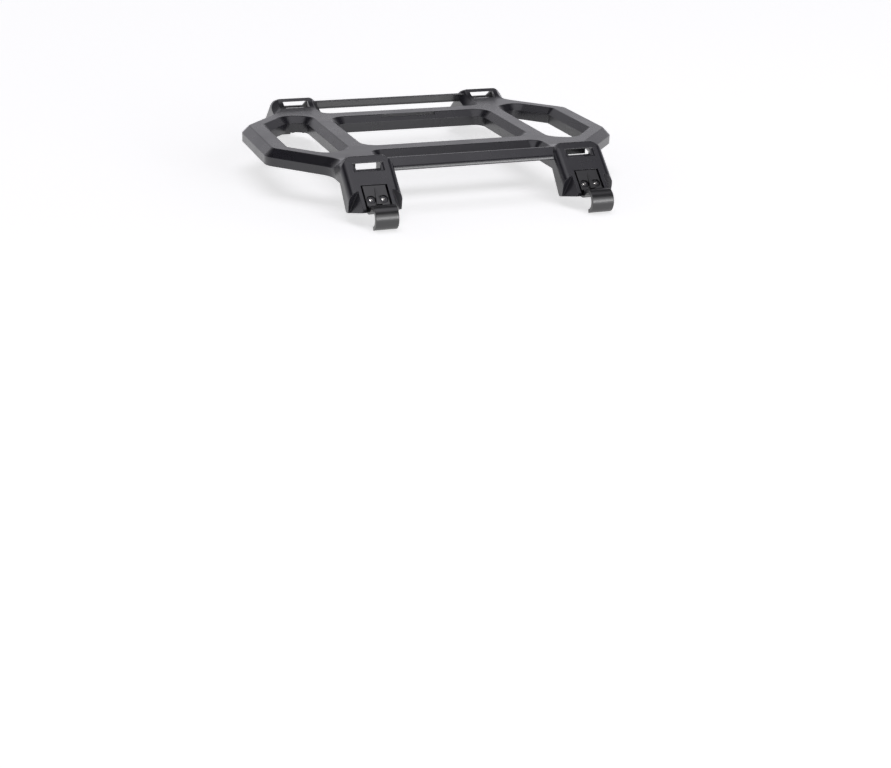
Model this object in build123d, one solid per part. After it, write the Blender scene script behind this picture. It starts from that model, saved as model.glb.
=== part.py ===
from build123d import *
import os
from math import asin, cos, radians, sin, sqrt, tan

# Luggage rack: one moulded nylon frame on four legs. Each leg carries a
# screwed hook that closes round a level bar. Sizes are in millimetres, +Z is
# up, X runs along the rack and the front is -Y. The origin is under the middle
# of the rack, on the plane that the four hooks stand on.

# Level bar and the hook that closes round it
rail_diameter = 13.0
rail_clearance = 0.3
rail_half_span = 170.3
rail_drop = 32.3
hook_wall = 3.4
hook_width = 20.0
hook_mouth = 12.9
hook_mouth_angle = 216.0
hook_tip_angle = -78.0

# Deck: skirt outline, depth and chamfers
deck_half_length = 167.0
deck_end_setback = 122.3
deck_diagonal_angle = 42.0
beam_setback = 89.0
beam_width = 29.1
deck_depth = 14.5
edge_chamfer = 6.8
end_corner_radius = 16.0
edge_break = 0.6
wall = 3.0

# Windows, given at the through opening below their chamfers
window_chamfer = 5.8
main_window_end_setback = 92.3
main_window_radius = 10.0
end_window_inner_setback = 66.7
end_window_outer_setback = 25.8
end_window_rim = 23.5
end_window_shoulder = 13.4
end_window_shoulder_angle = 23.0
end_window_corner_radius = 3.0
end_window_tip_radius = 9.2

# Finger step in the window chamfer of the front and rear beams
step_length = 54.0
step_drop = 2.6

# Ribs under the deck, and one across the outer half of each leg's root
rib = 2.0
rib_recess = 2.5
rib_pitch = 25.0
beam_rib_pairs = 3
side_rib_pairs = 2
leg_rib_run = 6.7

# Leg, in plan and in side view
leg_center_setback = 69.3
leg_width = 47.2
leg_overrun = 15.0
root_radius = 3.0
leg_blend_radius = 24.0
brow_setback = 46.8
brow_run = 6.5
brow_drop = 4.0
ramp_run = 22.0
crest_height = 7.0
crest_radius = 1.6
panel_slope = 40.0
panel_length = 47.6
toe_height = 3.0
heel_run = 16.3
heel_drop = 35.2
heel_radius = 4.0
knee_run = 1.5
cheek_radius = 6.0

# Strap slot through each ear: run from the brow and rise from the deck
slot_width = 25.0
slot_foot_width = 21.0
slot_top_outer = (1.1, 1.9)
slot_top_inner = (-15.5, 5.5)
slot_bottom_outer = (6.3, -3.2)
slot_bottom_inner = (-22.5, 0.6)
slot_overrun = 6.0
slot_lip = 1.2

# Bar between the ears of each side: run from the brow and rise of its corners
bar_top_inner = (-10.9, 3.4)
bar_top_outer = (-7.0, 3.4)
bar_knuckle = (0.8, -2.9)
bar_foot_outer = (1.3, -6.2)
bar_foot_inner = (-2.1, -6.2)
bar_back = (-2.9, -4.2)
bar_radius = 0.8
bar_knuckle_radius = 4.0

# Clamp pocket, hook plate and fasteners, along the panel and square to it
pocket_top = 23.4
pocket_clearance = 1.6
pocket_top_clearance = 0.5
plate_sink = 0.4
plate_thickness = 7.0
screw_row = 38.0
screw_spacing = 10.8
screw_diameter = 4.0
screw_length = 10.0
head_diameter = 7.0
head_height = 4.0
socket_flats = 3.0
socket_depth = 2.2
counterbore_diameter = 7.8
counterbore_depth = 4.8
hole_clearance = 0.4
nut_web = 3.4
nut_flats = 7.0
nut_height = 3.2
nut_clearance = 0.3
boss_wall = 3.0
boss_depth = 14.2
ledge_row = 44.6
ledge_rise = 3.2
neck_row = 46.0
ridge_start = 26.0
ridge_foot = 5.0
ridge_rise = 2.4

# Notch beside each pocket: apex on the panel, and its upright walls in plan
notch_row = 28.8
notch_offset = 14.7
notch_lean = 0.434
notch_inner_splay = 0.36
notch_outer_splay = 0.40

os.makedirs("parts", exist_ok=True)

hook_bore = rail_diameter / 2 + rail_clearance
hook_radius = hook_bore + hook_wall
deck_z = rail_drop + hook_radius
rail_z = hook_radius
skirt_z = deck_z - deck_depth
lowest = deck_z - 2 * heel_drop
leg_center = deck_half_length - leg_center_setback
main_window_half_length = deck_half_length - main_window_end_setback
end_window_inner = deck_half_length - end_window_inner_setback
end_window_outer = deck_half_length - end_window_outer_setback
leg_inner = leg_center - leg_width / 2
leg_outer = leg_center + leg_width / 2
slope = radians(panel_slope)
brow_half_span = rail_half_span - brow_setback
brow_z = deck_z + crest_height - brow_drop
crest_half_span = brow_half_span - brow_run
crest_z = deck_z + crest_height
ramp_start = crest_half_span - ramp_run
ramp_radius = (ramp_run ** 2 + crest_height ** 2) / (2 * crest_height)
toe_half_span = brow_half_span + panel_length * cos(slope)
toe_z = brow_z - panel_length * sin(slope)
leg_reach = toe_half_span + leg_overrun
heel_half_span = brow_half_span + heel_run
deck_end_half = rail_half_span - deck_end_setback
beam_half = rail_half_span - beam_setback
main_window_half_width = beam_half - beam_width
diagonal_x = -sin(radians(deck_diagonal_angle))
diagonal_y = cos(radians(deck_diagonal_angle))
shoulder_half_span = deck_end_half + (deck_half_length - leg_outer) / -diagonal_x * diagonal_y
core_chamfer = edge_chamfer - wall * (2 - sqrt(2))
core_window_chamfer = window_chamfer - wall * (2 - sqrt(2))
ear_radius = edge_chamfer * (1 + sqrt(0.5))
pocket_floor = plate_sink + plate_thickness
pocket_half_width = hook_width / 2 + pocket_clearance
notch_half_span = brow_half_span + notch_row * cos(slope)
notch_z = brow_z - notch_row * sin(slope)

# Frame of one leg's panel: X, down the slope, and out of the panel
panel = Plane((leg_center, brow_half_span, brow_z), (1, 0, 0), (0, sin(slope), cos(slope)))


def four(shape):
    """The shape of the leg at +X +Y, repeated on all four legs."""
    pair = shape + mirror(shape, Plane.YZ)
    return pair + mirror(pair, Plane.XZ)


def mirrored(points):
    """Four-fold outline from its first-quadrant points, anticlockwise from +X."""
    right = list(points)
    left = [(-x, y) for x, y in reversed(points)]
    low_left = [(-x, -y) for x, y in points]
    low_right = [(x, -y) for x, y in reversed(points)]
    return right + left + low_left + low_right


def corners_at(face, x, y):
    return [v for v in face.vertices() if abs(abs(v.X) - x) < 0.01 and abs(abs(v.Y) - y) < 0.01]


def plan_outline():
    """Plan of the skirt, with the four legs as tabs."""
    corners = mirrored([
        (deck_half_length, deck_end_half),
        (leg_outer, shoulder_half_span),
        (leg_outer, leg_reach),
        (leg_inner, leg_reach),
        (leg_inner, beam_half),
    ])
    return make_face(Polyline(*corners, close=True))


def rounded_outline():
    """The skirt's plan with its corners, leg roots and shoulder blends rounded."""
    plan = fillet(corners_at(plan_outline(), deck_half_length, deck_end_half), end_corner_radius)
    plan = fillet(corners_at(plan, leg_inner, beam_half), root_radius)
    return fillet(corners_at(plan, leg_outer, shoulder_half_span), leg_blend_radius)


def main_window():
    return RectangleRounded(2 * main_window_half_length, 2 * main_window_half_width, main_window_radius)


def end_window(side):
    """Opening in one end: slopes along the deck diagonals, shoulders inside."""
    reach = deck_half_length * diagonal_y - deck_end_half * diagonal_x - end_window_rim
    outer_half = (reach - end_window_outer * diagonal_y) / -diagonal_x
    inner_half = deck_end_half + end_window_shoulder
    rise = tan(radians(end_window_shoulder_angle))
    tip_x = reach + (inner_half - end_window_inner * rise) * diagonal_x
    tip_x = tip_x / (diagonal_y - rise * diagonal_x)
    tip_half = inner_half + (tip_x - end_window_inner) * rise
    upper = [
        (end_window_outer, outer_half),
        (tip_x, tip_half),
        (end_window_inner, inner_half),
    ]
    lower = [(x, -y) for x, y in reversed(upper)]
    face = make_face(Polyline(*[(side * x, y) for x, y in upper + lower], close=True))
    face = fillet(corners_at(face, end_window_inner, inner_half), end_window_tip_radius)
    face = fillet(corners_at(face, tip_x, tip_half), end_window_tip_radius)
    return fillet(corners_at(face, end_window_outer, outer_half), end_window_corner_radius)


def side_profile(start, bottom):
    """Half side view in the YZ plane: deck top, ramp, brow and sloping panel."""
    middle = ramp_run / 2
    rise = ramp_radius - sqrt(ramp_radius ** 2 - middle ** 2)
    first = (start, deck_z)
    foot = (ramp_start, deck_z)
    crest = (crest_half_span, crest_z)
    brow = (brow_half_span, brow_z)
    ramp = ThreePointArc(foot, (ramp_start + middle, deck_z + rise), crest)
    points = [brow] + bottom + [first]
    chain = [Line(first, foot), ramp, Line(crest, brow)]
    chain += [Line(a, b) for a, b in zip(points, points[1:])]
    return make_face(chain)


def across(view, half):
    """Extrude a YZ view along X, for the front and the rear of the rack."""
    one = extrude(Plane.YZ * view, half, both=True)
    return one + mirror(one, Plane.XZ)


def chamfered_body(plan, view, top, size):
    """Plan and side view made into one body, with its top rim chamfered."""
    blank = Pos(0, 0, lowest) * extrude(plan, deck_z + 2 * crest_height - lowest)
    body = across(view, deck_half_length + 1) & blank
    high = [e for e in body.edges() if e.bounding_box().min.Z > top - 0.01]
    rim = [e for e in high if abs(e.center().Y) < crest_half_span - wall]
    rim = [e for e in rim if e.bounding_box().size.Y > 0.01 or abs(e.center().Y) < ramp_start - 1]
    return chamfer(rim, size)


def with_windows(body, growth, top, size):
    """Cut the three windows and chamfer their upper edges."""
    for hole in (main_window(), end_window(1), end_window(-1)):
        grown = offset(hole, growth, kind=Kind.ARC) if growth else hole
        body -= Pos(0, 0, lowest) * extrude(grown, 2 * deck_z)
    face = [f for f in body.faces() if abs(f.center().Z - top) < 0.01 and abs(f.normal_at().Z) > 0.99]
    face = max(face, key=lambda f: f.area)
    return chamfer([e for w in face.inner_wires() for e in w.edges()], size)


def build_outer():
    view = side_profile(0, [
        (toe_half_span, toe_z),
        (toe_half_span, toe_z - toe_height),
        (heel_half_span, deck_z - heel_drop),
        (brow_half_span - knee_run, skirt_z),
        (0, skirt_z),
    ])
    view = fillet([v for v in view.vertices() if abs(v.X - heel_half_span) < 0.01], heel_radius)
    body = chamfered_body(rounded_outline(), view, deck_z, edge_chamfer)
    body = with_windows(body, 0, deck_z, window_chamfer)
    high = [e for e in body.edges() if e.bounding_box().min.Z > deck_z - 0.01]
    high = [e for e in high if abs(e.center().Y) < crest_half_span - 1]
    crisp = [e for e in high if abs(abs(e.center().Y) - ramp_start) < 0.01 and e.bounding_box().size.Y < 0.01]
    return chamfer([e for e in high if e not in crisp], edge_break)


def build_core():
    """The hollow under the deck and in the legs, one wall inside the outer body."""
    run = (brow_z - lowest) / tan(slope)
    view = side_profile(-2 * wall, [(brow_half_span + run, lowest), (-2 * wall, lowest)])
    view = offset(view, -wall, kind=Kind.INTERSECTION)
    plan = offset(rounded_outline(), -wall, kind=Kind.INTERSECTION)
    core = chamfered_body(plan, view, deck_z - wall, core_chamfer)
    return with_windows(core, wall, deck_z - wall, core_window_chamfer)


def build_ribs():
    """Rib planes across the beams, kept above the skirt edge."""
    height = deck_z - skirt_z - rib_recess
    at = Pos(0, 0, skirt_z + rib_recess + height / 2)
    ribs = []
    for n in range(beam_rib_pairs):
        x = (n + 0.5) * rib_pitch
        for side in (-1, 1):
            ribs.append(at * Pos(side * x, 0) * Box(rib, 2 * beam_half, height))
    for n in range(side_rib_pairs):
        y = (n + 0.5) * rib_pitch
        for side in (-1, 1):
            ribs.append(at * Pos(0, side * y) * Box(2 * deck_half_length, rib, height))
    x = (leg_center + leg_outer) / 2
    y = beam_half + leg_rib_run
    return ribs + [four(at * Pos(x, y) * Box(leg_outer - leg_center, rib, height))]


def panel_box(width, low, high, bottom, top):
    """Box in the panel frame: full width, run down the slope, and depth range."""
    return panel * Pos(0, (low + high) / 2, (bottom + top) / 2) * Box(width, high - low, top - bottom)


def screw_places(depth):
    return [panel * Pos(side * screw_spacing / 2, screw_row, depth) for side in (-1, 1)]


def build_leg_solids():
    """What stays solid in a leg: the pocket's boss and the cheeks beside it."""
    reach = 2 * panel_length
    half = pocket_half_width + boss_wall
    keep = panel_box(2 * half, pocket_top - boss_wall, reach, -boss_depth, reach)
    strip = leg_width / 2 - half
    for side in (-1, 1):
        x = leg_center + side * (half + strip / 2)
        y = notch_half_span - boss_wall + reach / 2
        keep += Pos(x, y, lowest + reach / 2) * Box(strip, reach, reach)
    return keep


def both_edges(shape):
    """A shape on the leg's outer edge, repeated on its inner edge."""
    return shape + mirror(shape, Plane.YZ.offset(leg_center))


def corner_region(radius):
    """What a square corner at the origin loses when it is rounded."""
    square = Pos(-radius / 2, -radius / 2) * Rectangle(3 * radius, 3 * radius)
    quarter = Pos(-2 * radius, -2 * radius) * Rectangle(2 * radius, 6 * radius)
    below = Pos(-2 * radius, -2 * radius) * Rectangle(6 * radius, 2 * radius)
    return square - Pos(-radius, -radius) * Circle(radius) - quarter - below


def cheek_cutters():
    """Strips that round the panel's long edges and the ear's shoulders."""
    edge = panel.origin + Vector(leg_width / 2, 0, 0)
    cheek = Plane(edge, x_dir=(1, 0, 0), z_dir=-panel.y_dir) * corner_region(cheek_radius)
    corner = Vector(leg_outer, ramp_start, crest_z)
    ear = Plane(corner, x_dir=(1, 0, 0), z_dir=(0, -1, 0)) * corner_region(ear_radius)
    strips = extrude(cheek, 2 * panel_length, both=True) + extrude(ear, -leg_reach)
    return both_edges(strips)


def crest_cutter():
    """Strip that rounds the edge between the ramp and the brow."""
    corner = Vector(crest_half_span, crest_z)
    angle = asin(ramp_run / ramp_radius)
    back = Vector(-cos(angle), -sin(angle))
    front = (Vector(brow_half_span, brow_z) - corner).normalized()
    inward = (back + front).normalized()
    half = radians(back.get_angle(front) / 2)
    run = crest_radius / tan(half)
    center = corner + inward * (crest_radius / sin(half))
    tip = corner - inward * crest_radius
    kite = make_face(Polyline(corner + back * run, tip, corner + front * run, center, close=True))
    strip = kite - Pos(center.X, center.Y) * Circle(crest_radius)
    return Pos(leg_center, 0, 0) * extrude(Plane.YZ * strip, leg_width, both=True)


def from_brow(place):
    """Half span and height of a (run, rise) pair."""
    return (brow_half_span + place[0], deck_z + place[1])


def slot_cutter():
    """Strap slot with sloping ends, through the panel and the ramp."""
    panel_top = from_brow(slot_top_outer)
    panel_low = from_brow(slot_bottom_outer)
    outer_top = (panel_top[0] + slot_overrun, panel_top[1])
    outer_low = (panel_low[0] + slot_overrun, panel_low[1])
    inner_top = from_brow(slot_top_inner)
    inner_low = from_brow(slot_bottom_inner)
    view = make_face(Polyline(
        inner_low, panel_low, outer_low, outer_top, panel_top, inner_top, close=True))
    high = deck_z + 2 * crest_height
    front = make_face(Polyline(
        (leg_center - slot_foot_width / 2, outer_low[1]),
        (leg_center + slot_foot_width / 2, outer_low[1]),
        (leg_center + slot_width / 2, outer_top[1]),
        (leg_center + slot_width / 2, high),
        (leg_center - slot_width / 2, high),
        (leg_center - slot_width / 2, outer_top[1]),
        close=True,
    ))
    tunnel = extrude(Plane.YZ * view, 2 * leg_outer)
    return tunnel & extrude(Plane.XZ * front, -leg_reach)


def slot_flare():
    """Bevel round the top and the ends of the slot's mouth in the panel."""
    top = (brow_z - deck_z - slot_top_outer[1]) / sin(slope) - slot_lip
    low = (brow_z - deck_z - slot_bottom_outer[1]) / sin(slope)
    mouth = Rectangle(slot_width + 4 * slot_lip, low - top + 2 * slot_lip)
    return panel * Pos(0, (top + low) / 2, slot_lip) * extrude(mouth, -2 * slot_lip, taper=45)


def notch_cutters():
    """Notch beside each side of the pocket, leaning outward towards its foot."""
    reach = leg_reach - notch_half_span
    width = leg_width / 2
    wedge = make_face(Polyline(
        (0, 0),
        (width, width * notch_outer_splay),
        (width, reach),
        (-notch_inner_splay * reach, reach),
        close=True,
    ))
    rise = deck_z - notch_z
    start = Pos(leg_center + notch_offset - notch_lean * rise, notch_half_span, deck_z)
    length = 2 * heel_drop
    return both_edges(extrude(start * wedge, length, dir=(notch_lean, 0, -1)))


def leg_cutters():
    """Everything cut out of the leg at +X +Y."""
    floor = -pocket_floor
    hole = (screw_diameter + hole_clearance) / 2
    pocket = RegularPolygon((nut_flats + nut_clearance) / 2, 6, major_radius=False)
    cutters = [panel_box(2 * pocket_half_width, pocket_top, 2 * panel_length, floor, panel_length)]
    cutters += [place * Cylinder(hole, 2 * boss_depth) for place in screw_places(floor)]
    cutters += [place * extrude(pocket, -boss_depth) for place in screw_places(floor - nut_web)]
    return cutters + [notch_cutters(), cheek_cutters(), crest_cutter(), slot_cutter(), slot_flare()]


def build_bar():
    """Rounded slat between the two ears of the rear side."""
    corners = [bar_top_inner, bar_top_outer, bar_knuckle, bar_foot_outer, bar_foot_inner, bar_back]
    view = make_face(Polyline(*[from_brow(corner) for corner in corners], close=True))
    knuckle = view.vertices().sort_by_distance(from_brow(bar_knuckle))[0]
    view = fillet([v for v in view.vertices() if v != knuckle], bar_radius)
    knuckle = view.vertices().sort_by_distance(from_brow(bar_knuckle))[0]
    view = fillet(knuckle, bar_knuckle_radius)
    return extrude(Plane.YZ * view, leg_inner + ear_radius / 2, both=True)


def build_frame():
    core = build_core()
    for piece in build_ribs():
        core -= piece
    core -= four(build_leg_solids())
    frame = build_outer() - core
    for cutter in leg_cutters():
        frame -= four(cutter)
    half = main_window_half_width + window_chamfer
    frame -= Pos(0, 0, deck_z) * Box(step_length, 2 * half, 2 * step_drop)
    bar = build_bar()
    return frame + bar + mirror(bar, Plane.XZ)


def build_hook():
    """Hook of the leg at +X +Y: plate with counterbores, ledge and open ring."""
    start = pocket_top + pocket_top_clearance
    center = Vector(leg_center, rail_half_span, rail_z)
    ring = panel.to_local_coords(center)
    view = make_face(Polyline(
        (start, -pocket_floor),
        (neck_row, -pocket_floor),
        (ring.Y, ring.Z),
        (ring.Y, ledge_rise),
        (ledge_row + ledge_rise / 2, ledge_rise),
        (ledge_row, -plate_sink),
        (start, -plate_sink),
        close=True,
    ))
    side = Plane(panel.origin - Vector(hook_width / 2, 0, 0), panel.y_dir, (1, 0, 0))
    body = extrude(side * view, hook_width)
    body += Pos(center) * Rot(0, 90, 0) * Cylinder(hook_radius, hook_width)
    ridge = make_face(Polyline(
        (ridge_start, -plate_sink), (ledge_row, -plate_sink), (ledge_row, ridge_rise), close=True))
    foot = make_face(Polyline(
        (0, ridge_start), (ridge_foot / 2, ledge_row), (-ridge_foot / 2, ledge_row), close=True))
    body += extrude(side * ridge, hook_width) & panel * extrude(foot, hook_width, both=True)
    body -= Pos(center) * Rot(0, 90, 0) * Cylinder(hook_bore, 2 * hook_width)
    reach = 2 * hook_radius
    mouth = Pos(center) * Rot(hook_mouth_angle, 0, 0)
    body -= mouth * Pos(0, reach / 2, 0) * Box(2 * hook_width, reach, hook_mouth)
    tip = Pos(center) * Rot(hook_tip_angle, 0, 0)
    body -= tip * Pos(0, reach / 2, -reach / 2) * Box(2 * hook_width, reach, reach)
    for place in screw_places(-plate_sink):
        body -= place * Cylinder(counterbore_diameter / 2, 2 * counterbore_depth)
        body -= place * Cylinder((screw_diameter + hole_clearance) / 2, 2 * panel_length)
    return body


def build_screw(place):
    """Socket-head screw with its seat at the place given."""
    head = Pos(0, 0, head_height / 2) * Cylinder(head_diameter / 2, head_height)
    shank = Pos(0, 0, -screw_length / 2) * Cylinder(screw_diameter / 2, screw_length)
    socket = extrude(RegularPolygon(socket_flats / 2, 6, major_radius=False), socket_depth)
    return place * (head + shank - Pos(0, 0, head_height - socket_depth) * socket)


def build_nut(place):
    """Six-sided nut under its web, clear of the screw by the thread depth."""
    blank = extrude(RegularPolygon(nut_flats / 2, 6, major_radius=False), -nut_height)
    bore = Cylinder(screw_diameter / 2, 4 * nut_height)
    return place * (blank - bore)


def placed(shape, side, end):
    """The leg part at +X +Y carried to another leg: side and end are 1 or -1."""
    if side < 0:
        shape = mirror(shape, Plane.YZ)
    if end < 0:
        shape = mirror(shape, Plane.XZ)
    return shape


export_step(build_frame(), "parts/rack_frame.step")
hook = build_hook()
seat = -plate_sink - counterbore_depth
screws = [build_screw(place) for place in screw_places(seat)]
nuts = [build_nut(place) for place in screw_places(-pocket_floor - nut_web)]
for end, end_name in ((-1, "front"), (1, "rear")):
    for side, side_name in ((-1, "left"), (1, "right")):
        corner = end_name + "_" + side_name
        export_step(placed(hook, side, end), "parts/loop_hook_" + corner + ".step")
        for spot, screw, nut in zip(("inner", "outer"), screws, nuts):
            name = corner + "_" + spot + ".step"
            export_step(placed(screw, side, end), "parts/hook_screw_" + name)
            export_step(placed(nut, side, end), "parts/hook_nut_" + name)
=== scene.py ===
from math import cos, radians, sin

import bmesh
import bpy
from bpy.props import FloatProperty, FloatVectorProperty, PointerProperty
from bpy.types import Operator, Panel, PropertyGroup
from mathutils import Matrix, Vector

bl_info = {
    "name": "Top Case Rack",
    "version": (1, 0, 0),
    "blender": (4, 5, 0),
    "location": "View3D > Sidebar > Rack",
    "description": "Finishes and stage for a moulded luggage rack with screwed hooks",
    "category": "Add Mesh",
}

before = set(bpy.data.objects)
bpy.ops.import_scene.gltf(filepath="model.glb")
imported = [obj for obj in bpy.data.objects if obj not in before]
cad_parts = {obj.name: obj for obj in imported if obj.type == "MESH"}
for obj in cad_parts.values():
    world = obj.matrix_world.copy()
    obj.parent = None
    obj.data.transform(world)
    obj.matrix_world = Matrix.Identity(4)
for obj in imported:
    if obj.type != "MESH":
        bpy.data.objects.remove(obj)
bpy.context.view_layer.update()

IMAGE_WIDTH = 891
SENSOR_WIDTH = 36.0
MILLIMETRE = 0.001

# Nylon: noise scales are per metre, shades are shares of the written colour.
NYLON_IOR = 1.6
NYLON_SHADES = (0.82, 1.22)
NYLON_EDGE = 0.7 * MILLIMETRE
GRAIN_STRENGTH = 0.35
PATCH_SCALE = 35.0
PATCH_SWING = 0.07
FLOW_SCALE = 9.0
FRAME_GRAIN_DEPTH = 0.05 * MILLIMETRE
FRAME_SPECULAR = 0.62
HOOK_GRAIN_DEPTH = 0.01 * MILLIMETRE
HOOK_GRAIN_SHARE = 2.0
HOOK_SPECULAR = 0.8

# Steel: a bright highlight is painted into each recess that leaves little of the view
# free, and the steel is black where more of the view is open.
STEEL_SHADES = (0.7, 1.1)
STEEL_EDGE = 0.35 * MILLIMETRE
STEEL_ROUGHNESS = (0.12, 0.26)
MARK_SCALE = 900.0
MARK_STRENGTH = 0.2
MARK_DEPTH = 0.02 * MILLIMETRE
DULL_SCALE = 260.0
RECESS_REACH = 2.5 * MILLIMETRE
# Below this share of open view a recess shows the painted highlight; from BLACK_OPEN on it
# is black.
HIGHLIGHT_OPEN = 0.4
BLACK_OPEN = 0.75
NUT_SHADE = 0.9

EDGE_SAMPLES = 4

# The room's bands, as the sine of their angle above the horizon.
WALL_FADE_START = 0.1
DARK_START = 0.66
DARK_END = 0.88
CEILING_START = 0.915

FLOOR_WHITE = (0.86, 0.86, 0.86, 1.0)

# The strip of lamps stands about as far to the right as the camera to the left.
# Each lamp has a name, an angle above the floor, a length and a share of power.
STRIP_DISTANCE = 2.2
STRIP_TURN = radians(20.6)
STRIP_WIDTH = 0.9
STRIP_AIM = (0.0, 0.0, 0.02)
FRONT_STRIP = (
    ("Front Strip Low", radians(7.5), 0.54, 1.0),
    ("Front Strip High", radians(27.5), 0.95, 0.36),
)


class RackFinish(PropertyGroup):
    """Colours and grain of the rack's nylon and steel."""

    frame_colour: FloatVectorProperty(
        name="Frame Colour", description="Colour of the moulded frame",
        subtype="COLOR", size=3, min=0.0, max=1.0, default=(0.0135, 0.0128, 0.0178))
    frame_roughness: FloatProperty(
        name="Frame Roughness", description="Roughness of the frame's satin face",
        subtype="FACTOR", min=0.0, max=1.0, default=0.28)
    grain_size: FloatProperty(
        name="Grain Size", description="Distance between the grains of the moulded face",
        unit="LENGTH", min=0.0001, default=0.0006)
    hook_colour: FloatVectorProperty(
        name="Hook Colour", description="Colour of the screwed hooks",
        subtype="COLOR", size=3, min=0.0, max=1.0, default=(0.006, 0.006, 0.007))
    hook_roughness: FloatProperty(
        name="Hook Roughness", description="Roughness of the hooks' smooth face",
        subtype="FACTOR", min=0.0, max=1.0, default=0.3)
    steel_colour: FloatVectorProperty(
        name="Steel Colour", description="Colour of the blackened screws and nuts",
        subtype="COLOR", size=3, min=0.0, max=1.0, default=(0.06, 0.06, 0.063))
    # The colour of the highlight painted inside the screws' sockets.
    socket_highlight_colour: FloatVectorProperty(
        name="Socket Highlight Colour", description="Colour of the painted highlight inside the sockets",
        subtype="COLOR", size=3, min=0.0, max=1.0, default=(0.75, 0.74, 0.73))


class RackStage(PropertyGroup):
    """Camera, floor, room and lamps."""

    camera_place: FloatVectorProperty(
        name="Camera Place", description="Where the camera stands",
        subtype="TRANSLATION", unit="LENGTH", size=3,
        default=(-0.47094, -1.31636, 0.36681))
    camera_turn: FloatProperty(
        name="Camera Turn", description="Turn of the camera about the upright axis",
        subtype="ANGLE", default=radians(-20.6227))
    camera_dip: FloatProperty(
        name="Camera Dip", description="How far the camera looks down",
        subtype="ANGLE", default=radians(22.7252))
    camera_roll: FloatProperty(
        name="Camera Roll", description="Roll of the camera about its view",
        subtype="ANGLE", default=radians(1.4844))
    camera_focal_pixels: FloatProperty(
        name="Focal Length in Pixels", description="Focal length over the size of a pixel",
        min=1.0, default=1511.44)
    floor_size: FloatProperty(
        name="Floor Size", description="Width of the square floor",
        unit="LENGTH", min=1.0, default=12.0)
    floor_glow: FloatProperty(
        name="Floor Glow", description="White added to the floor where it is seen",
        min=0.0, max=1.0, default=0.62)
    key_power: FloatProperty(
        name="Key Power", description="Power of the brightest lamp of the strip in front",
        unit="POWER", min=0.0, default=10.0)
    room_colour: FloatVectorProperty(
        name="Room Colour", description="Faint cast of the studio's walls and ceiling",
        subtype="COLOR", size=3, min=0.0, default=(1.0, 0.985, 1.045))
    wall_level: FloatProperty(
        name="Wall Level", description="Brightness of the studio walls at the horizon",
        min=0.0, default=1.0)
    dark_level: FloatProperty(
        name="Dark Band Level", description="Brightness between the walls and the ceiling",
        min=0.0, default=0.03)
    ceiling_level: FloatProperty(
        name="Ceiling Level", description="Brightness of the studio ceiling",
        min=0.0, default=1.07)


def new_material(name):
    """An empty node material, with its tree and its output."""
    material = bpy.data.materials.new(name)
    material.use_nodes = True
    tree = material.node_tree
    tree.nodes.clear()
    output = tree.nodes.new("ShaderNodeOutputMaterial")
    return material, tree, output


def add(tree, kind, **values):
    """A node of that kind, with its sockets set by name."""
    node = tree.nodes.new(kind)
    for name, value in values.items():
        node.inputs[name.replace("_", " ")].default_value = value
    return node


def noise(tree, where, **values):
    """Noise over the piece's own coordinates."""
    texture = add(tree, "ShaderNodeTexNoise", **values)
    tree.links.new(where, texture.inputs["Vector"])
    return texture.outputs["Fac"]


def map_range(tree, source, **limits):
    """The source moved from one range to another, each 0 to 1 if not given."""
    node = add(tree, "ShaderNodeMapRange", **limits)
    tree.links.new(source, node.inputs["Value"])
    return node.outputs["Result"]


def shaded(tree, source, colour, shades):
    """The colour from its dark to its light shade, as the source goes from 0 to 1."""
    ramp = tree.nodes.new("ShaderNodeValToRGB")
    for stop, shade in zip(ramp.color_ramp.elements, shades):
        stop.color = [shade * c for c in colour] + [1.0]
    tree.links.new(source, ramp.inputs["Fac"])
    return ramp.outputs["Color"]


def bumped_edges(tree, source, strength, depth, radius):
    """Normals of a fine bump, with every sharp edge softened to the radius."""
    edges = add(tree, "ShaderNodeBevel", Radius=radius)
    edges.samples = EDGE_SAMPLES
    bump = add(tree, "ShaderNodeBump", Strength=strength, Distance=depth)
    tree.links.new(source, bump.inputs["Height"])
    tree.links.new(edges.outputs["Normal"], bump.inputs["Normal"])
    return bump.outputs["Normal"]


def socket(sockets, identifier):
    """The socket with that identifier, for nodes that use a name twice."""
    return next(s for s in sockets if s.identifier == identifier)


def show(tree, output, shader, colour, roughness, normal):
    """Feeds the shader its colour, roughness and normals, and shows it."""
    tree.links.new(colour, shader.inputs["Base Color"])
    tree.links.new(roughness, shader.inputs["Roughness"])
    tree.links.new(normal, shader.inputs["Normal"])
    tree.links.new(shader.outputs["BSDF"], output.inputs["Surface"])


def moulded_nylon(name, colour, roughness, grain, depth, specular):
    """Black nylon: fine spark grain, slight flow marks and patches rubbed smooth."""
    material, tree, output = new_material(name)
    where = tree.nodes.new("ShaderNodeTexCoord").outputs["Object"]
    fine = noise(tree, where, Scale=1.0 / grain, Detail=3.0, Roughness=0.6)
    patches = noise(tree, where, Scale=PATCH_SCALE, Detail=4.0, Roughness=0.6)
    flow = noise(tree, where, Scale=FLOW_SCALE, Detail=2.0, Distortion=0.6)
    black = shaded(tree, flow, colour, NYLON_SHADES)
    low, high = roughness - PATCH_SWING, roughness + PATCH_SWING
    wear_and_highlight = map_range(tree, patches, To_Min=low, To_Max=high)
    normal = bumped_edges(tree, fine, GRAIN_STRENGTH, depth, NYLON_EDGE)
    shader = add(
        tree, "ShaderNodeBsdfPrincipled", Specular_IOR_Level=specular, IOR=NYLON_IOR)
    show(tree, output, shader, black, wear_and_highlight, normal)
    return material


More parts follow.
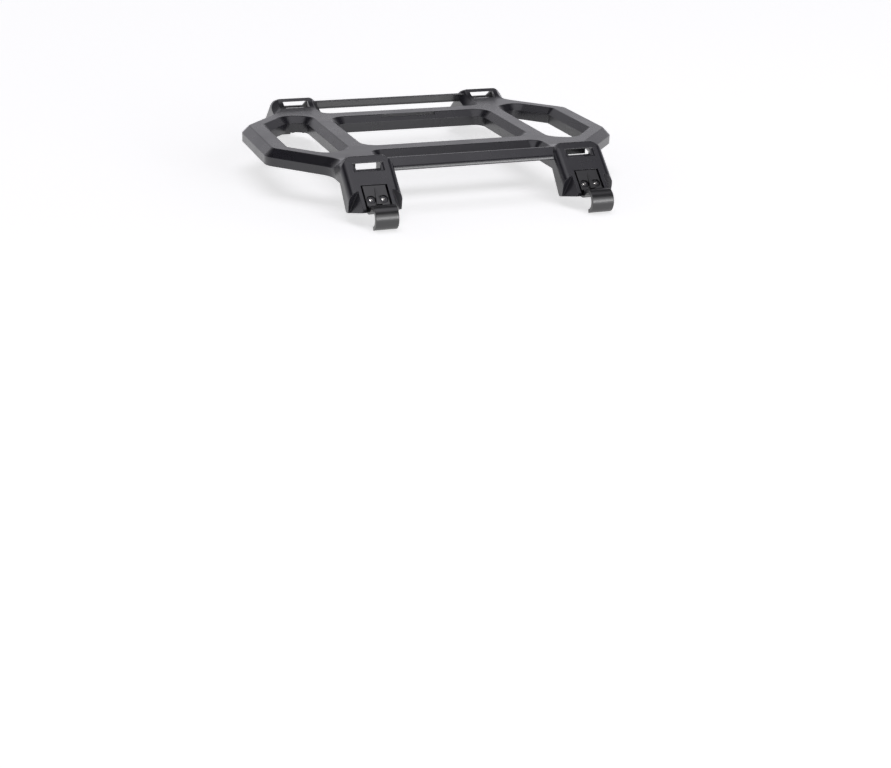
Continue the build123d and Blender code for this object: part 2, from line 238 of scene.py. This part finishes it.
def black_steel(name, colour, wear_and_highlight):
    """Blackened steel, dulled in patches, with a bright highlight painted inside its
    recesses.
    """
    material, tree, output = new_material(name)
    where = tree.nodes.new("ShaderNodeTexCoord").outputs["Object"]
    marks = noise(tree, where, Scale=MARK_SCALE, Detail=4.0)
    dull = noise(tree, where, Scale=DULL_SCALE, Detail=3.0)
    # Ambient occlusion finds the recesses, and the bright colour put there is a painted
    # highlight.
    recess = add(tree, "ShaderNodeAmbientOcclusion", Distance=RECESS_REACH)
    recess.only_local = True
    black_share = map_range(
        tree, recess.outputs["AO"], From_Min=HIGHLIGHT_OPEN, From_Max=BLACK_OPEN)
    black = shaded(tree, dull, colour, STEEL_SHADES)
    mixed = tree.nodes.new("ShaderNodeMix")
    mixed.data_type = "RGBA"
    tree.links.new(black_share, socket(mixed.inputs, "Factor_Float"))
    socket(mixed.inputs, "A_Color").default_value = list(wear_and_highlight) + [1.0]
    tree.links.new(black, socket(mixed.inputs, "B_Color"))
    low, high = STEEL_ROUGHNESS
    roughness = map_range(tree, dull, To_Min=low, To_Max=high)
    normal = bumped_edges(tree, marks, MARK_STRENGTH, MARK_DEPTH, STEEL_EDGE)
    shader = add(tree, "ShaderNodeBsdfPrincipled", Metallic=1.0)
    show(tree, output, shader, socket(mixed.outputs, "Result_Color"), roughness, normal)
    return material


def dress(start, material):
    """Gives every CAD node whose name has that start its finish."""
    named = [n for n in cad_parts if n.startswith(start)]
    if not named:
        raise RuntimeError("no node is named " + start)
    for name in named:
        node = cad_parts[name]
        node.data.materials.clear()
        node.data.materials.append(material)


class RACK_OT_frame(Operator):
    """Finish the moulded frame"""

    bl_idname = "rack.frame_finish"
    bl_label = "Finish Frame"

    def execute(self, context):
        finish = context.scene.rack_finish
        nylon = moulded_nylon(
            "Frame Nylon", finish.frame_colour, finish.frame_roughness,
            finish.grain_size, FRAME_GRAIN_DEPTH, FRAME_SPECULAR)
        dress("rack_frame", nylon)
        return {"FINISHED"}


class RACK_OT_hooks(Operator):
    """Finish the four screwed hooks"""

    bl_idname = "rack.hook_finish"
    bl_label = "Finish Hooks"

    def execute(self, context):
        finish = context.scene.rack_finish
        nylon = moulded_nylon(
            "Hook Nylon", finish.hook_colour, finish.hook_roughness,
            HOOK_GRAIN_SHARE * finish.grain_size, HOOK_GRAIN_DEPTH, HOOK_SPECULAR)
        dress("loop_hook", nylon)
        return {"FINISHED"}


class RACK_OT_fasteners(Operator):
    """Finish the screws and nuts"""

    bl_idname = "rack.fastener_finish"
    bl_label = "Finish Screws and Nuts"

    def execute(self, context):
        finish = context.scene.rack_finish
        # The screws get a bright highlight painted into their sockets.
        screws = black_steel("Screw Steel", finish.steel_colour, finish.socket_highlight_colour)
        dress("hook_screw", screws)
        dull = [NUT_SHADE * c for c in finish.steel_colour]
        dress("hook_nut", black_steel("Nut Steel", dull, dull))
        return {"FINISHED"}


def shown_rays(tree):
    """1 for rays from the camera, from gloss or through glass, else 0."""
    path = tree.nodes.new("ShaderNodeLightPath")
    shown = path.outputs["Is Camera Ray"]
    for kind in ("Is Glossy Ray", "Is Transmission Ray"):
        either = tree.nodes.new("ShaderNodeMath")
        either.operation = "MAXIMUM"
        tree.links.new(shown, either.inputs[0])
        tree.links.new(path.outputs[kind], either.inputs[1])
        shown = either.outputs[0]
    return shown


def build_floor(stage):
    """Pale floor that shows white and keeps the rack's shadow."""
    mesh = bpy.data.meshes.new("Studio Floor")
    grid = bmesh.new()
    bmesh.ops.create_grid(grid, x_segments=1, y_segments=1, size=stage.floor_size / 2)
    grid.to_mesh(mesh)
    grid.free()
    floor = bpy.data.objects.new("Studio Floor", mesh)
    bpy.context.scene.collection.objects.link(floor)
    material, tree, output = new_material("Floor White")
    matt = add(tree, "ShaderNodeBsdfDiffuse", Color=FLOOR_WHITE)
    share = tree.nodes.new("ShaderNodeMath")
    share.operation = "MULTIPLY"
    share.inputs[1].default_value = stage.floor_glow
    tree.links.new(shown_rays(tree), share.inputs[0])
    glow = tree.nodes.new("ShaderNodeEmission")
    tree.links.new(share.outputs[0], glow.inputs["Strength"])
    both = tree.nodes.new("ShaderNodeAddShader")
    tree.links.new(matt.outputs[0], both.inputs[0])
    tree.links.new(glow.outputs[0], both.inputs[1])
    tree.links.new(both.outputs[0], output.inputs["Surface"])
    mesh.materials.append(material)


def build_world(stage):
    """Studio room: walls that fade upwards, a dark band and a bright ceiling."""
    world = bpy.data.worlds.new("Studio Room")
    bpy.context.scene.world = world
    world.use_nodes = True
    tree = world.node_tree
    tree.nodes.clear()
    bands = (
        (0.0, stage.wall_level),
        (WALL_FADE_START, stage.wall_level),
        (DARK_START, stage.dark_level),
        (DARK_END, stage.dark_level),
        (CEILING_START, stage.ceiling_level),
    )
    room = tree.nodes.new("ShaderNodeValToRGB")
    stops = room.color_ramp.elements
    while len(stops) < len(bands):
        stops.new(1.0)
    for stop, (height, level) in zip(stops, bands):
        stop.position = height
        stop.color = [level * c for c in stage.room_colour] + [1.0]
    where = tree.nodes.new("ShaderNodeTexCoord")
    split = tree.nodes.new("ShaderNodeSeparateXYZ")
    back = add(tree, "ShaderNodeBackground", Strength=1.0)
    output = tree.nodes.new("ShaderNodeOutputWorld")
    tree.links.new(where.outputs["Generated"], split.inputs[0])
    tree.links.new(split.outputs["Z"], room.inputs["Fac"])
    tree.links.new(room.outputs["Color"], back.inputs["Color"])
    tree.links.new(back.outputs[0], output.inputs["Surface"])


def soft_lamp(name, place, aim, width, length, power):
    """Area lamp at a place, turned to its aim."""
    data = bpy.data.lights.new(name, "AREA")
    data.shape = "RECTANGLE"
    data.size = width
    data.size_y = length
    data.energy = power
    lamp = bpy.data.objects.new(name, data)
    turn = (Vector(aim) - Vector(place)).to_track_quat("-Z", "Y")
    lamp.matrix_world = Matrix.Translation(place) @ turn.to_matrix().to_4x4()
    bpy.context.scene.collection.objects.link(lamp)


def light_front(stage):
    """Strip of lamps in front, which the rounded hooks show as a highlight."""
    for name, height, length, share in FRONT_STRIP:
        away = STRIP_DISTANCE * cos(height)
        up = STRIP_DISTANCE * sin(height)
        place = (away * sin(STRIP_TURN), -away * cos(STRIP_TURN), up)
        power = share * stage.key_power
        soft_lamp(name, place, STRIP_AIM, STRIP_WIDTH, length, power)


def place_camera(stage):
    """Camera at the place, turn and focal length of the photograph."""
    data = bpy.data.cameras.new("Studio Camera")
    data.sensor_fit = "HORIZONTAL"
    data.sensor_width = SENSOR_WIDTH
    data.lens = stage.camera_focal_pixels * SENSOR_WIDTH / IMAGE_WIDTH
    camera = bpy.data.objects.new("Studio Camera", data)
    turn = Matrix.Rotation(stage.camera_turn, 4, "Z")
    dip = Matrix.Rotation(radians(90.0) - stage.camera_dip, 4, "X")
    roll = Matrix.Rotation(stage.camera_roll, 4, "Z")
    camera.matrix_world = Matrix.Translation(stage.camera_place) @ turn @ dip @ roll
    bpy.context.scene.collection.objects.link(camera)
    bpy.context.scene.camera = camera


class RACK_OT_stage(Operator):
    """Set up the floor, room, lamps and camera"""

    bl_idname = "rack.stage"
    bl_label = "Set Up Stage"

    def execute(self, context):
        stage = context.scene.rack_stage
        context.scene.view_settings.view_transform = "Standard"
        build_floor(stage)
        build_world(stage)
        light_front(stage)
        place_camera(stage)
        return {"FINISHED"}


class RACK_PT_sidebar(Panel):
    """Lists the rack's settings and steps"""

    bl_idname = "RACK_PT_sidebar"
    bl_label = "Top Case Rack"
    bl_space_type = "VIEW_3D"
    bl_region_type = "UI"
    bl_category = "Rack"

    def draw(self, context):
        for settings in (context.scene.rack_finish, context.scene.rack_stage):
            column = self.layout.column(align=True)
            for name in settings.bl_rna.properties.keys():
                if name not in ("rna_type", "name"):
                    column.prop(settings, name)
        for step in STEPS:
            self.layout.operator(step.bl_idname)


STEPS = (RACK_OT_frame, RACK_OT_hooks, RACK_OT_fasteners, RACK_OT_stage)
CLASSES = (RackFinish, RackStage) + STEPS + (RACK_PT_sidebar,)


def register():
    for piece in CLASSES:
        bpy.utils.register_class(piece)
    bpy.types.Scene.rack_finish = PointerProperty(type=RackFinish)
    bpy.types.Scene.rack_stage = PointerProperty(type=RackStage)


def unregister():
    del bpy.types.Scene.rack_stage
    del bpy.types.Scene.rack_finish
    for piece in reversed(CLASSES):
        bpy.utils.unregister_class(piece)


def main():
    register()
    bpy.ops.rack.frame_finish()
    bpy.ops.rack.hook_finish()
    bpy.ops.rack.fastener_finish()
    bpy.ops.rack.stage()


if __name__ == "__main__":
    main()
